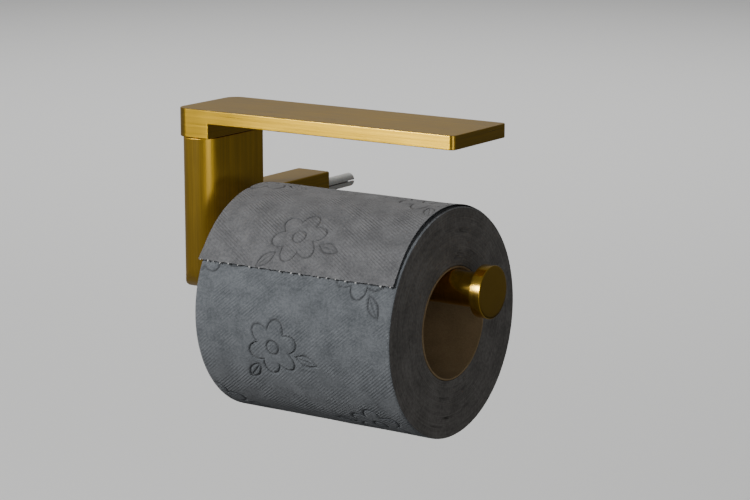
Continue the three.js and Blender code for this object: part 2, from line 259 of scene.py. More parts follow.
def edit(piece, on):
    """Goes into or out of edit mode on one piece."""
    bpy.context.view_layer.objects.active = piece
    piece.select_set(True)
    bpy.ops.object.mode_set(mode="EDIT" if on else "OBJECT")


def soften(piece, width, segments=3, angle=40):
    """Rounds every sharp edge by a small amount."""
    bevel = piece.modifiers.new("edge", "BEVEL")
    bevel.width = width
    bevel.segments = segments
    bevel.limit_method = "ANGLE"
    bevel.angle_limit = math.radians(angle)
    bpy.context.view_layer.objects.active = piece
    bpy.ops.object.modifier_apply(modifier=bevel.name)


def drill(piece, start, end, radius, steps=40):
    """Cuts a round hole from start to end."""
    start, end = Vector(start), Vector(end)
    bpy.ops.object.select_all(action="DESELECT")
    bpy.ops.mesh.primitive_cylinder_add(
        vertices=steps, radius=radius, depth=(end - start).length, location=(start + end) / 2,
        rotation=(end - start).to_track_quat("Z", "Y").to_euler(),
    )
    cutter = bpy.context.object
    cut = piece.modifiers.new("hole", "BOOLEAN")
    cut.object = cutter
    cut.solver = "EXACT"
    bpy.context.view_layer.objects.active = piece
    bpy.ops.object.modifier_apply(modifier=cut.name)
    bpy.data.objects.remove(cutter)


def pin_middle(node, first, second):
    """A hidden pin's middle on two axes, with the low and high corners of its box."""
    pin_low, pin_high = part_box(node)
    centre = (pin_low + pin_high) / 2
    return centre[first], centre[second], pin_low, pin_high


def flatten_shading(piece):
    """Keeps the shading of big flat faces flat right up to their rounded edges."""
    weighted = piece.modifiers.new("flat faces", "WEIGHTED_NORMAL")
    weighted.mode = "FACE_AREA"
    weighted.weight = 100
    weighted.keep_sharp = True
    bpy.context.view_layer.objects.active = piece
    bpy.ops.object.modifier_apply(modifier=weighted.name)


def finish_piece(piece, body, slot_name, nodes, *materials, smooth=35, metal=False):
    """Gives the piece its finish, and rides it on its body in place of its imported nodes."""
    bpy.ops.object.select_all(action="DESELECT")
    piece.select_set(True)
    bpy.context.view_layer.objects.active = piece
    bpy.ops.object.shade_smooth_by_angle(angle=math.radians(smooth))
    if metal:
        flatten_shading(piece)
    for material in materials:
        piece.data.materials.append(material)
    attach(piece, body)
    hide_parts(*nodes)
    print(piece.name, len(piece.data.polygons), "faces")


# %% [markdown]
# ## Brass
# All the brass is satin. The flat pieces were brushed with long strokes, the round ones turned on a
# lathe, so both have fine lines in one direction and their highlights spread across those lines. A
# thin clear lacquer over the brass greys its flat tops where they are seen at a low angle. A
# map called "grain" runs its U along the lines and its V across them, on every face.

# %% The grain map
def map_grain(piece, direction):
    """U along the brushing and V across it. Brushing is level or upright on the sides."""
    grain = piece.data.uv_layers.new(name="grain")
    for face in piece.data.polygons:
        normal = face.normal
        if abs(normal.z) > 0.9:
            along = Vector((1, 0, 0)) if direction == "level" else Vector((0, 1, 0))
        elif direction == "level":
            along = Vector((0, 0, 1)).cross(normal).normalized()
        else:
            along = Vector((0, 0, 1))
        across = normal.cross(along).normalized()
        for loop in face.loop_indices:
            place = piece.data.vertices[piece.data.loops[loop].vertex_index].co
            grain.data[loop].uv = (place.dot(along), place.dot(across))


def map_turning(piece, centre, radius):
    """U round the axis along X, and V along the outline from the side over onto the flat ends."""
    grain = piece.data.uv_layers.new(name="grain")
    for face in piece.data.polygons:
        hub = face.center
        home = math.atan2(hub.z - centre[1], hub.y - centre[0])
        for loop in face.loop_indices:
            place = piece.data.vertices[piece.data.loops[loop].vertex_index].co
            y, z = place.y - centre[0], place.z - centre[1]
            turn = math.atan2(z, y) if abs(y) + abs(z) > 1e-7 else home
            turn = home + (turn - home + math.pi) % (2 * math.pi) - math.pi
            grain.data[loop].uv = (turn * radius, place.x - math.hypot(y, z))


# %% Brass finish
def brass(name, roughness, spread, line_depth):
    """Satin brass whose fine lines follow the grain map."""
    material, shader, add, link = new_material(name)
    grain = add("ShaderNodeUVMap", uv_map="grain").outputs["UV"]
    place = add("ShaderNodeTexCoord").outputs["Object"]

    def lines(along, across, detail):
        stretched = add("ShaderNodeMapping", {"Vector": grain, "Scale": (along, across, 1)})
        streaks = add(
            "ShaderNodeTexNoise",
            {"Vector": stretched.outputs["Vector"], "Scale": 1.0, "Detail": detail},
        )
        return streaks.outputs["Fac"]

    fine = lines(40, 4200, 3)
    wide = lines(14, 900, 2)
    smudges = add("ShaderNodeTexNoise", {"Vector": place, "Scale": 42.0, "Detail": 3.0})
    both = add("ShaderNodeMath", {0: fine, 1: wide}, operation="ADD")
    tone = add("ShaderNodeMath", {0: both.outputs[0], 1: 0.5}, operation="MULTIPLY").outputs[0]
    deep, light = (0.64, 0.375, 0.014), (0.90, 0.550, 0.026)
    colour = ramp(add, tone, [(0.32, deep), (0.68, light)])
    link(colour, shader.inputs["Base Color"])
    dull = remap(add, smudges.outputs["Fac"], roughness - 0.05, roughness + 0.07)
    streaked = remap(add, tone, -0.08, 0.08)
    rough = add("ShaderNodeMath", {0: dull, 1: streaked}, operation="ADD")
    link(rough.outputs[0], shader.inputs["Roughness"])
    bump = add("ShaderNodeBump", {"Height": tone, "Strength": 0.5, "Distance": line_depth})
    link(bump.outputs["Normal"], shader.inputs["Normal"])
    tangent = add("ShaderNodeTangent", direction_type="UV_MAP", uv_map="grain")
    link(tangent.outputs["Tangent"], shader.inputs["Tangent"])
    shader.inputs["Metallic"].default_value = 1.0
    shader.inputs["Anisotropic"].default_value = spread
    shader.inputs["Anisotropic Rotation"].default_value = 0.25
    shader.inputs["Coat Weight"].default_value = 0.8
    shader.inputs["Coat Roughness"].default_value = 0.25
    shader.inputs["Coat IOR"].default_value = 1.5
    return material


brushed_level = brass("brass_brushed_level", 0.30, 0.75, 0.00002)
brushed_upright = brass("brass_brushed_upright", 0.30, 0.75, 0.00002)
turned_brass = brass("brass_turned", 0.17, 0.25, 0.000005)
print("brass finishes ready")

# %% [markdown]
# ## Shelf
# The shelf is one bar of brass, milled so that a short leg stays at its left end. A box is cut across
# where the leg ends, and the part under it is pulled down. The upright corners get their rounding, and
# every sharp edge a hair of softening, which is what catches the light along the front.

# %% Shelf
low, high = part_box("shelf")
plate_low, plate_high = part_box("side_plate")
SEAM = 0.3 * MM
PIN_END_ROOM = 0.4 * MM
PAST_FACE = 1.0 * MM
DOWEL_HOLE = 2.7 * MM
SHELF_THICKNESS = 6.0 * MM
LEG_WIDTH = 18.0 * MM
LEFT_CORNER = 6.0 * MM
RIGHT_CORNER = 2.4 * MM
EDGE = 0.35 * MM

underside = high.z - SHELF_THICKNESS
leg_right = low.x + LEG_WIDTH
shelf = start_box("shelf_bar", (low.x, low.y, underside), high)
edit(shelf, True)
bpy.ops.mesh.select_all(action="SELECT")
bpy.ops.mesh.bisect(plane_co=(leg_right, 0, 0), plane_no=(1, 0, 0))
pick(shelf, "faces", lambda f: f.normal.z < -0.9 and f.calc_center_median().x < leg_right)
bpy.ops.mesh.extrude_region_move(TRANSFORM_OT_translate={"value": (0, 0, low.z - underside)})
pick(shelf, "edges", lambda e: runs_along(e, 2) and near(middle(e).x, low.x))
bpy.ops.mesh.bevel(offset=LEFT_CORNER, segments=12, affect="EDGES")
pick(shelf, "edges", lambda e: runs_along(e, 2) and near(middle(e).x, high.x))
bpy.ops.mesh.bevel(offset=RIGHT_CORNER, segments=8, affect="EDGES")
edit(shelf, False)
soften(shelf, EDGE)
for node in ("shelf_dowel_front", "shelf_dowel_back"):
    x, y, pin_low, pin_high = pin_middle(node, 0, 1)
    drill(shelf, (x, y, low.z - PAST_FACE), (x, y, pin_high.z + PIN_END_ROOM), DOWEL_HOLE)
map_grain(shelf, "level")
finish_piece(shelf, "holder", "brushed_brass", ["shelf"], brushed_level, metal=True)

# %% [markdown]
# ## Side plate
# Under the leg hangs a plate as wide as the leg. Its front is almost a half round, its lower corners
# are well rounded in side view, and its brushing runs up and down. The upright edges of a box are
# bevelled, and then the lower corners are rounded as on a belt grinder, by a row of flat cuts that
# each take off a little more.

# %% Side plate
low, high = plate_low, plate_high
LOWER_CORNER = 11.5 * MM
FRONT_CORNER = 8.0 * MM
BACK_CORNER = 2.0 * MM
CORNER_CUTS = 14
SCREW_HOLE = 2.6 * MM
ROD_STUD_HOLE = 4.1 * MM

plate = start_box("side_plate_bar", low, high)
edit(plate, True)
pick(plate, "edges", lambda e: runs_along(e, 2) and near(middle(e).y, low.y))
bpy.ops.mesh.bevel(offset=FRONT_CORNER, segments=16, affect="EDGES")
pick(plate, "edges", lambda e: runs_along(e, 2) and near(middle(e).y, high.y))
bpy.ops.mesh.bevel(offset=BACK_CORNER, segments=6, affect="EDGES")
for side, corner_y in ((-1, low.y), (1, high.y)):
    hub = Vector((0, corner_y - side * LOWER_CORNER, low.z + LOWER_CORNER))
    for cut in range(CORNER_CUTS):
        lean = math.radians(90) * (cut + 0.5) / CORNER_CUTS
        outward = Vector((0, side * math.cos(lean), -math.sin(lean)))
        touch = hub + outward * LOWER_CORNER
        bpy.ops.mesh.select_all(action="SELECT")
        bpy.ops.mesh.bisect(plane_co=touch, plane_no=outward, use_fill=True, clear_outer=True)
edit(plate, False)
soften(plate, EDGE)
for node in ("shelf_dowel_front", "shelf_dowel_back"):
    x, y, pin_low, pin_high = pin_middle(node, 0, 1)
    drill(plate, (x, y, pin_low.z - PIN_END_ROOM), (x, y, high.z + PAST_FACE), DOWEL_HOLE)
for node in ("plate_screw_upper", "plate_screw_lower"):
    x, z, pin_low, pin_high = pin_middle(node, 0, 2)
    drill(plate, (x, pin_low.y - PIN_END_ROOM, z), (x, high.y + PAST_FACE, z), SCREW_HOLE)
y, z, stud_low, stud_high = pin_middle("rod_stud", 1, 2)
drill(plate, (stud_low.x - PIN_END_ROOM, y, z), (high.x + PAST_FACE, y, z), ROD_STUD_HOLE)
map_grain(plate, "upright")
finish_piece(plate, "holder", "brushed_brass", ["side_plate"], brushed_upright, metal=True)

# %% [markdown]
# ## Rod and end disc
# The rod is a turned bar and the disc at its end a turned slice. Both are finer than the flat pieces,
# so the disc's rim shows the soft light as one bright patch. Their edges are only just broken.

# %% Rod and end disc
KNOB_STUD_HOLE = 3.1 * MM
low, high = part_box("rod")
axis = ((low.y + high.y) / 2, (low.z + high.z) / 2)
rod_radius = (high.y - low.y) / 2
rod = start_rod("rod_bar", low.x, high.x, axis, rod_radius, 128)
soften(rod, 0.25 * MM)
drill(rod, (low.x - PAST_FACE, *axis), (stud_high.x + PIN_END_ROOM, *axis), ROD_STUD_HOLE)
pin_low, pin_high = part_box("knob_stud")
drill(rod, (pin_low.x - PIN_END_ROOM, *axis), (high.x + PAST_FACE, *axis), KNOB_STUD_HOLE)
map_turning(rod, axis, rod_radius)
finish_piece(rod, "holder", "brushed_brass", ["rod"], turned_brass, metal=True)

low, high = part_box("end_knob")
knob_radius = (high.y - low.y) / 2
knob = start_rod("end_disc", low.x, high.x, axis, knob_radius, 160)
edit(knob, True)
pick(knob, "faces", lambda f: abs(f.normal.x) > 0.9)
bpy.ops.mesh.inset(thickness=1.2 * MM, depth=0)
edit(knob, False)
soften(knob, 0.3 * MM)
drill(knob, (low.x - PAST_FACE, *axis), (pin_high.x + PIN_END_ROOM, *axis), KNOB_STUD_HOLE)
map_turning(knob, axis, knob_radius)
finish_piece(knob, "holder", "brushed_brass", ["end_knob"], turned_brass, metal=True)

# %% [markdown]
# ## Wall post
# The post is a square tube closed at its front end, brushed along its length. It slides over the
# bracket. It is a box whose back face is inset and pushed in, with rounded long edges, holes for the
# two screws in the closed end, and one for the small locking screw underneath.

# %% Wall post
low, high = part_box("wall_post")
POST_WALL = 3.2 * MM
POST_WEB = 6.0 * MM
GRUB_HOLE = 2.1 * MM
post = start_box("wall_post_tube", low, high)
edit(post, True)
pick(post, "faces", lambda f: f.normal.y > 0.9)
bpy.ops.mesh.inset(thickness=POST_WALL, depth=0)
depth = high.y - low.y - POST_WEB
bpy.ops.mesh.extrude_region_move(TRANSFORM_OT_translate={"value": (0, -depth, 0)})
pick(post, "edges", lambda e: runs_along(e, 1) and near(abs(middle(e).x), high.x))
bpy.ops.mesh.bevel(offset=0.8 * MM, segments=5, affect="EDGES")
edit(post, False)
soften(post, 0.25 * MM)
for node in ("plate_screw_upper", "plate_screw_lower"):
    x, z = pin_middle(node, 0, 2)[:2]
    drill(post, (x, low.y - PAST_FACE, z), (x, low.y + POST_WEB + PAST_FACE, z), SCREW_HOLE)
x, y = pin_middle("post_grub", 0, 1)[:2]
drill(post, (x, y, low.z - PAST_FACE), (x, y, low.z + POST_WALL + PAST_FACE), GRUB_HOLE)
map_grain(post, "level")
finish_piece(post, "holder", "brushed_brass", ["wall_post"], brushed_level, metal=True)

# %% [markdown]
# ## Hidden steel and nylon
# The bracket, screws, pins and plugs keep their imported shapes, which are right as they are. The steel
# is zinc plated, with a cloudy bright surface. The plugs are moulded nylon with a faint grain.

# %% Steel and nylon
zinc, shader, add, link = new_material("zinc_plated_steel")
place = add("ShaderNodeTexCoord").outputs["Object"]
clouds = add("ShaderNodeTexNoise", {"Vector": place, "Scale": 260.0, "Detail": 5.0})
colour = ramp(add, clouds.outputs["Fac"], [(0.3, (0.42, 0.43, 0.45)), (0.7, (0.66, 0.67, 0.68))])
link(colour, shader.inputs["Base Color"])
link(remap(add, clouds.outputs["Fac"], 0.28, 0.48), shader.inputs["Roughness"])
bump = add("ShaderNodeBump", {"Height": clouds.outputs["Fac"], "Strength": 0.3, "Distance": 0.00005})
link(bump.outputs["Normal"], shader.inputs["Normal"])
shader.inputs["Metallic"].default_value = 1.0

nylon, shader, add, link = new_material("moulded_nylon")
place = add("ShaderNodeTexCoord").outputs["Object"]
grains = add("ShaderNodeTexNoise", {"Vector": place, "Scale": 900.0, "Detail": 4.0})
colour = ramp(add, grains.outputs["Fac"], [(0.3, (0.43, 0.42, 0.39)), (0.7, (0.53, 0.52, 0.49))])
link(colour, shader.inputs["Base Color"])
link(remap(add, grains.outputs["Fac"], 0.45, 0.65), shader.inputs["Roughness"])
bump = add("ShaderNodeBump", {"Height": grains.outputs["Fac"], "Strength": 0.4, "Distance": 0.00005})
link(bump.outputs["Normal"], shader.inputs["Normal"])
shader.inputs["Subsurface Weight"].default_value = 0.05

SLOT_FINISH = {"plain_steel": zinc, "plug_nylon": nylon}
for entry in frame["record"]["subparts"]:
    finish = SLOT_FINISH.get(entry["material_slot"])
    if finish:
        node = frame["nodes"][entry["node"]]
        node.data.materials.clear()
        node.data.materials.append(finish)
print("steel and nylon on the packed nodes")

# %% [markdown]
# ## Tissue
# The paper is a soft dark grey tissue with fine slanting lines pressed all over it, and flowers
# pressed in outline here and there. It is laid out flat first, its pressed lines are pushed in, and
# then it is wound round. A map called "paper" keeps its flat places: U across and V along, in metres.

# %% Tissue finish
def tissue(name, slant, line_strength, dark, light):
    """Grey tissue with fine pressed lines that lean by slant, read from the paper map."""
    material, shader, add, link = new_material(name)
    paper = add("ShaderNodeUVMap", uv_map="paper").outputs["UV"]
    turned = add("ShaderNodeMapping", {"Vector": paper, "Rotation": (0, 0, slant)})
    lines = add(
        "ShaderNodeTexWave",
        {"Vector": turned.outputs["Vector"], "Scale": 262.0, "Distortion": 0.6, "Detail": 2.0,
         "Detail Scale": 1.5},
        bands_direction="X",
    )
    worn = add("ShaderNodeTexNoise", {"Vector": paper, "Scale": 75.0, "Detail": 2.0})
    patches = add(
        "ShaderNodeMapRange", {"Value": worn.outputs["Fac"], "From Min": 0.40, "From Max": 0.62}
    )
    kept = add("ShaderNodeMath", {0: lines.outputs["Fac"], 1: patches.outputs[0]}, operation="MULTIPLY")
    fibres = add("ShaderNodeTexNoise", {"Vector": paper, "Scale": 2400.0, "Detail": 5.0})
    mottle = add("ShaderNodeTexNoise", {"Vector": paper, "Scale": 800.0, "Detail": 4.0})
    mixed = add("ShaderNodeMath", {0: fibres.outputs["Fac"], 1: mottle.outputs["Fac"]}, operation="ADD")
    cloudy = add("ShaderNodeTexNoise", {"Vector": paper, "Scale": 120.0, "Detail": 3.0})
    mixed = add("ShaderNodeMath", {0: mixed.outputs[0], 1: cloudy.outputs["Fac"]}, operation="ADD")
    tone = add("ShaderNodeMath", {0: mixed.outputs[0], 1: 3.0}, operation="DIVIDE").outputs[0]
    plain = ramp(add, tone, [(0.40, dark), (0.60, light)])
    # The colour is darkened almost to black by how deep the pressed lines are, broken up by noise:
    # painted shade in the grooves.
    pressed_line = add("ShaderNodeAttribute", attribute_name="pressed").outputs["Fac"]
    broken = add("ShaderNodeTexNoise", {"Vector": paper, "Scale": 170.0, "Detail": 2.0})
    held = add("ShaderNodeMath", {0: pressed_line, 1: broken.outputs["Fac"]}, operation="MULTIPLY")
    shade = remap(add, held.outputs[0], 0.0, 1.0)
    groove_shaded = add("ShaderNodeMix", {"Factor": shade, "A": plain, "B": (0.02, 0.021, 0.023, 1)},
                data_type="RGBA")
    torn = add("ShaderNodeAttribute", attribute_name="torn").outputs["Fac"]
    tufted = add("ShaderNodeMix", {"Factor": torn, "A": groove_shaded.outputs["Result"],
                                   "B": (0.50, 0.50, 0.49, 1)}, data_type="RGBA")
    link(tufted.outputs["Result"], shader.inputs["Base Color"])
    pressed = add("ShaderNodeBump", {"Height": kept.outputs[0], "Strength": line_strength,
                                     "Distance": 0.00028})
    fuzz = add("ShaderNodeBump", {"Height": tone, "Strength": 0.8, "Distance": 0.00042,
                                  "Normal": pressed.outputs["Normal"]})
    link(fuzz.outputs["Normal"], shader.inputs["Normal"])
    shader.inputs["Roughness"].default_value = 0.95
    shader.inputs["Specular IOR Level"].default_value = 0.15
    shader.inputs["Sheen Weight"].default_value = 0.12
    shader.inputs["Sheen Roughness"].default_value = 0.6
    return material


WOUND_GREYS = (0.080, 0.088, 0.096), (0.155, 0.166, 0.178)
LOOSE_GREYS = (0.090, 0.091, 0.095), (0.165, 0.166, 0.171)
tissue_wound = tissue("tissue_wound", math.radians(50), 0.45, *WOUND_GREYS)
tissue_loose = tissue("tissue_loose", math.radians(-60), 0.9, *LOOSE_GREYS)


def tissue_ends(centre):
    """The roll's flat ends, where the edges of the wound layers show as fine rings."""
    material, shader, add, link = new_material("tissue_ends")
    place = add("ShaderNodeTexCoord").outputs["Object"]
    local = add("ShaderNodeVectorMath", {0: place, 1: (0, centre[0], centre[1])}, operation="SUBTRACT")
    flat = add("ShaderNodeVectorMath", {0: local.outputs[0], 1: (0, 1, 1)}, operation="MULTIPLY")
    radius = add("ShaderNodeVectorMath", {0: flat.outputs[0]}, operation="LENGTH").outputs["Value"]
    way = add("ShaderNodeVectorMath", {0: flat.outputs[0]}, operation="NORMALIZE").outputs[0]
    rings = add("ShaderNodeMath", {0: radius, 1: 2400.0}, operation="MULTIPLY").outputs[0]
    push = add("ShaderNodeCombineXYZ", {"X": rings})
    where = add("ShaderNodeVectorMath", {0: way, 1: push.outputs[0]}, operation="ADD").outputs[0]
    layers = add("ShaderNodeTexNoise", {"Vector": where, "Scale": 1.1, "Detail": 3.0})
    fuzz = add("ShaderNodeTexNoise", {"Vector": place, "Scale": 700.0, "Detail": 5.0})
    clouds = add("ShaderNodeTexNoise", {"Vector": place, "Scale": 110.0, "Detail": 5.0})
    mixed = add("ShaderNodeMath", {0: layers.outputs["Fac"], 1: fuzz.outputs["Fac"]}, operation="ADD")
    mixed = add("ShaderNodeMath", {0: mixed.outputs[0], 1: clouds.outputs["Fac"]}, operation="ADD")
    tone = add("ShaderNodeMath", {0: mixed.outputs[0], 1: 3.0}, operation="DIVIDE").outputs[0]
    stops = [(0.38, (0.092, 0.087, 0.081)), (0.62, (0.180, 0.172, 0.161))]
    link(ramp(add, tone, stops), shader.inputs["Base Color"])
    bump = add("ShaderNodeBump", {"Height": tone, "Strength": 0.5, "Distance": 0.0002})
    link(bump.outputs["Normal"], shader.inputs["Normal"])
    shader.inputs["Roughness"].default_value = 0.97
    shader.inputs["Specular IOR Level"].default_value = 0.1
    return material


print("tissue finishes ready")

# %% [markdown]
# ## The pressed flower
# The pattern is a plain flower of six round petals with two leaves, drawn as a few arcs. A point of
# the flat paper is pushed in by how near it is to the nearest line of the nearest flower.

# %% Pressed flower
FLOWER_RADIUS = 12.8 * MM
LINE_WIDTH = 0.46 * MM
LINE_DEPTH = 0.55 * MM
PETALS = 6
FLOWER_SPACING = 82.0 * MM


def flower_line(x, y):
    """How far a point is from the flower's lines, with the flower's middle at the origin."""
    reach = math.hypot(x, y)
    turn = math.atan2(y, x)
    petal = FLOWER_RADIUS * (0.62 + 0.38 * abs(math.cos(PETALS * turn / 2)))
    near_petals = abs(reach - petal) * 0.9
    near_eye = abs(reach - 0.24 * FLOWER_RADIUS)
    near_leaf = 1.0
    for side in (-1, 1):
        along = (x * side * 0.86 - y * 0.5) - 1.34 * FLOWER_RADIUS
        aside = x * side * 0.5 + y * 0.86
        half = 0.42 * FLOWER_RADIUS
        if abs(along) < half:
            width = 0.18 * FLOWER_RADIUS * math.cos(math.pi * along / (2 * half))
            near_leaf = min(near_leaf, abs(abs(aside) - width), abs(aside) + 0.2 * MM)
    return min(near_petals, near_eye, near_leaf)


def pressed_depth(u, v, first, along, line_width=LINE_WIDTH):
    """How far the paper is pushed in at a flat place. first is one flower's place; the rows after
    it are along apart and staggered."""
    row = round((v - first[1]) / along)
    offset = first[0] + (FLOWER_SPACING / 2 if row % 2 else 0)
    column = round((u - offset) / FLOWER_SPACING)
    x, y = u - offset - column * FLOWER_SPACING, v - first[1] - row * along
    if math.hypot(x, y) > 2 * FLOWER_RADIUS:
        return 0.0
    lean = 0.5 if (row + column) % 2 else -0.3
    turned_x = x * math.cos(lean) - y * math.sin(lean)
    turned_y = x * math.sin(lean) + y * math.cos(lean)
    gap = flower_line(turned_x, turned_y) / line_width
    return LINE_DEPTH * math.exp(-gap * gap)


def refine_lines(piece, width, length, first, along):
    """Divides the squares near a pressed line into four by four, while the sheet is still flat."""
    edit(piece, True)

    def on_line(face):
        spot = face.calc_center_median()
        u, v = (spot.x + 0.5) * width, (spot.y + 0.5) * length
        if min(u, width - u, v, length - v) < 1.6 * MM:
            return False
        return pressed_depth(u, v, first, along, 1.4 * LINE_WIDTH) > 0.12 * LINE_DEPTH

    found = pick(piece, "faces", on_line)
    bpy.ops.mesh.subdivide(number_cuts=3)
    edit(piece, False)
    print(piece.name, found, "squares refined for the pressed lines")


def keep_value(piece, name, values):
    """Stores one number a vertex, for the material to read."""
    store = piece.data.attributes.new(name, "FLOAT", "POINT")
    store.data.foreach_set("value", values)


print("flower", 2 * FLOWER_RADIUS / MM, "mm across, lines", LINE_DEPTH / MM, "mm deep")

# %% [markdown]
# ## Wound roll
# The outside is a flat sheet wound once round. Its two edges are then pulled in towards the middle
# ring by ring, because the ends of a roll are hundreds of paper edges that never lie quite level. The
# right end's last ring is pulled through the roll and merged with the left end's last one.

# %% Wound roll
low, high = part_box("paper_roll")
core_low, core_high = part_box("paper_core")
roll_middle = ((low.y + high.y) / 2, (low.z + high.z) / 2)
roll_radius = (high.z - low.z) / 2
hole_radius = (core_high.z - core_low.z) / 2 + SEAM
ROUND_STEPS = 310
WIDE_STEPS = 96
ROLL_EDGE = 0.35 * MM
RIGHT_RINGS = 40
LEFT_RINGS = 24
ROLL_ROWS = 8


def lay_flat(name, wide_steps, long_steps):
    """A unit sheet of small squares, with its own flat map."""
    bpy.ops.object.select_all(action="DESELECT")
    bpy.ops.mesh.primitive_grid_add(x_subdivisions=wide_steps, y_subdivisions=long_steps, size=1)
    piece = begin(name)
    piece.data.uv_layers[0].name = "paper"
    return piece


def scale_map(piece, width, length, start):
    """Makes the paper map read in metres."""
    for entry in piece.data.uv_layers["paper"].data:
        entry.uv = (entry.uv[0] * width, start + entry.uv[1] * length)


roll = lay_flat("wound_roll", WIDE_STEPS, ROUND_STEPS)
width, length = high.x - low.x, 2 * math.pi * roll_radius
scale_map(roll, width, length, 0)
row_step = length / ROLL_ROWS
roll_flower = (40 * MM, 3.5 * row_step)
seam_turn = (-9 * MM - roll_flower[1]) / roll_radius
refine_lines(roll, width, length, roll_flower, row_step)
pressed = []
for vertex in roll.data.vertices:
    u, v = (vertex.co.x + 0.5) * width, (vertex.co.y + 0.5) * length
    turn = v / roll_radius + seam_turn
    dent = 0.16 * MM * noise.noise((u * 60, math.cos(turn) * 3, math.sin(turn) * 3))
    inner = min(1.0, min(u, width - u) / MM)
    clear = min(1.0, min(v, length - v) / MM)
    pressed.append(inner * clear * pressed_depth(u, v, roll_flower, row_step) / LINE_DEPTH)
    reach = roll_radius - 0.1 * MM + inner * dent - pressed[-1] * LINE_DEPTH
    x = low.x + ROLL_EDGE + (vertex.co.x + 0.5) * (width - 2 * ROLL_EDGE)
    vertex.co = (x, roll_middle[0] - reach * math.cos(turn), roll_middle[1] + reach * math.sin(turn))
# The depth is kept for the tissue material, which paints shade into the pressed grooves from it.
keep_value(roll, "pressed", pressed)
edit(roll, True)
bpy.ops.mesh.select_all(action="SELECT")
bpy.ops.mesh.remove_doubles(threshold=0.02 * MM)


def pull_in(piece, side_x, out, rings):
    """Pulls the open edge at side_x over the corner and in to the hole, ring by ring."""
    pick(piece, "verts", lambda v: near(v.co.x, side_x))
    centre = (side_x, *roll_middle)
    reach = roll_radius - 0.1 * MM
    for ring in range(rings + 1):
        goal = roll_radius - ROLL_EDGE - (roll_radius - ROLL_EDGE - hole_radius) * ring / rings
        share = goal / reach
        step = out * ROLL_EDGE if ring == 0 else 0
        bpy.ops.mesh.extrude_edges_move(TRANSFORM_OT_translate={"value": (step, 0, 0)})
        bpy.ops.transform.resize(value=(1, share, share), center_override=centre)
        reach = goal


pull_in(roll, high.x - ROLL_EDGE, 1, RIGHT_RINGS)
bpy.ops.mesh.extrude_edges_move(TRANSFORM_OT_translate={"value": (low.x - high.x, 0, 0)})
pull_in(roll, low.x + ROLL_EDGE, -1, LEFT_RINGS)


def from_axis(place):
    """How far a point is from the roll's own axis."""
    return math.hypot(place.y - roll_middle[0], place.z - roll_middle[1])


pick(roll, "verts", lambda v: v.is_boundary)
bpy.ops.mesh.remove_doubles(threshold=0.1 * MM)
bpy.ops.mesh.select_all(action="SELECT")
bpy.ops.mesh.normals_make_consistent(inside=False)
edit(roll, False)

random.seed(7)
layer_shift = [random.uniform(-1, 1) for _ in range(400)]
nicks = [(random.uniform(hole_radius + 2 * MM, roll_radius - 3 * MM), random.uniform(-3.1, 3.1),
          random.uniform(0.04, 0.12)) for _ in range(46)]
for vertex in roll.data.vertices:
    reach = from_axis(vertex.co)
    side = 1 if near(vertex.co.x, high.x) else -1 if near(vertex.co.x, low.x) else 0
    if not side or reach > roll_radius - ROLL_EDGE - 0.05 * MM:
        continue
    turn = math.atan2(vertex.co.z - roll_middle[1], vertex.co.y - roll_middle[0])
    layer = layer_shift[int(reach / (0.3 * MM)) % 400]
    wave = noise.noise((math.cos(turn) * 2, math.sin(turn) * 2, reach * 260))
    level = 0.05 * MM * layer + 0.14 * MM * wave - 0.12 * MM
    for nick_reach, nick_turn, nick_span in nicks:
        if abs(reach - nick_reach) < 0.4 * MM and abs(turn - nick_turn) < nick_span:
            level -= (0.7 if side > 0 else 0.2) * MM
    vertex.co.x += side * min(level, 0.0)
for face in roll.data.polygons:
    on_end = abs(face.center.x - (low.x + high.x) / 2) > width / 2 - 2 * MM
    face.material_index = 1 if on_end and from_axis(face.center) < roll_radius - ROLL_EDGE else 0
finish_piece(
    roll, "roll", "grey_paper", ["paper_roll"], tissue_wound, tissue_ends(roll_middle), smooth=60
)

# %% [markdown]
# ## Loose sheet
# The outermost sheet no longer lies tight. Its front edge was torn off along a perforation, so it
# ends in little bridges and pale tufts at uneven distances, and its right edge stands off the roll
# and throws a thin dark shadow. It is a single sheet, wound on and then given its thickness.

# %% Loose sheet
low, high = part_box("loose_sheet")
SHEET_THICKNESS = 0.22 * MM
SHEET_INSIDE = roll_radius + 0.1 * MM
TEAR_ANGLE = math.radians(28)
SHEET_LENGTH = 124.0 * MM
SHEET_FLOWER = (0.045, 0.017)
SHEET_ROWS = 41.0 * MM

sheet = lay_flat("loose_sheet_tissue", 110, 130)
sheet_width = high.x - low.x
scale_map(sheet, sheet_width, SHEET_LENGTH, 0)
refine_lines(sheet, sheet_width, SHEET_LENGTH, SHEET_FLOWER, SHEET_ROWS)
edit(sheet, True)
pick(sheet, "faces", lambda f: f.calc_center_median().y < -0.5 + 2.2 * MM / SHEET_LENGTH)
bpy.ops.mesh.subdivide(number_cuts=3)
edit(sheet, False)


random.seed(3)
bridges = []
place = 1.0 * MM
while place < sheet_width:
    bridges.append((place, random.uniform(0.25, 0.55) * MM, random.uniform(0.25, 0.85) * MM))
    place += random.uniform(2.6, 6.4) * MM


def bridge_height(u):
    """How far a torn bridge stands out at u, or nothing between the bridges."""
    return max(tall * max(0.0, 1 - ((u - spot) / half) ** 2) for spot, half, tall in bridges)


def tear(u):
    """The ragged front edge: short bridges torn between the cuts of the perforation."""
    ragged = noise.noise((u * 1500, 3.1, 0)) * 0.18 * MM + noise.noise((u * 400, 7.7, 0)) * 0.16 * MM
    return ragged + bridge_height(u)


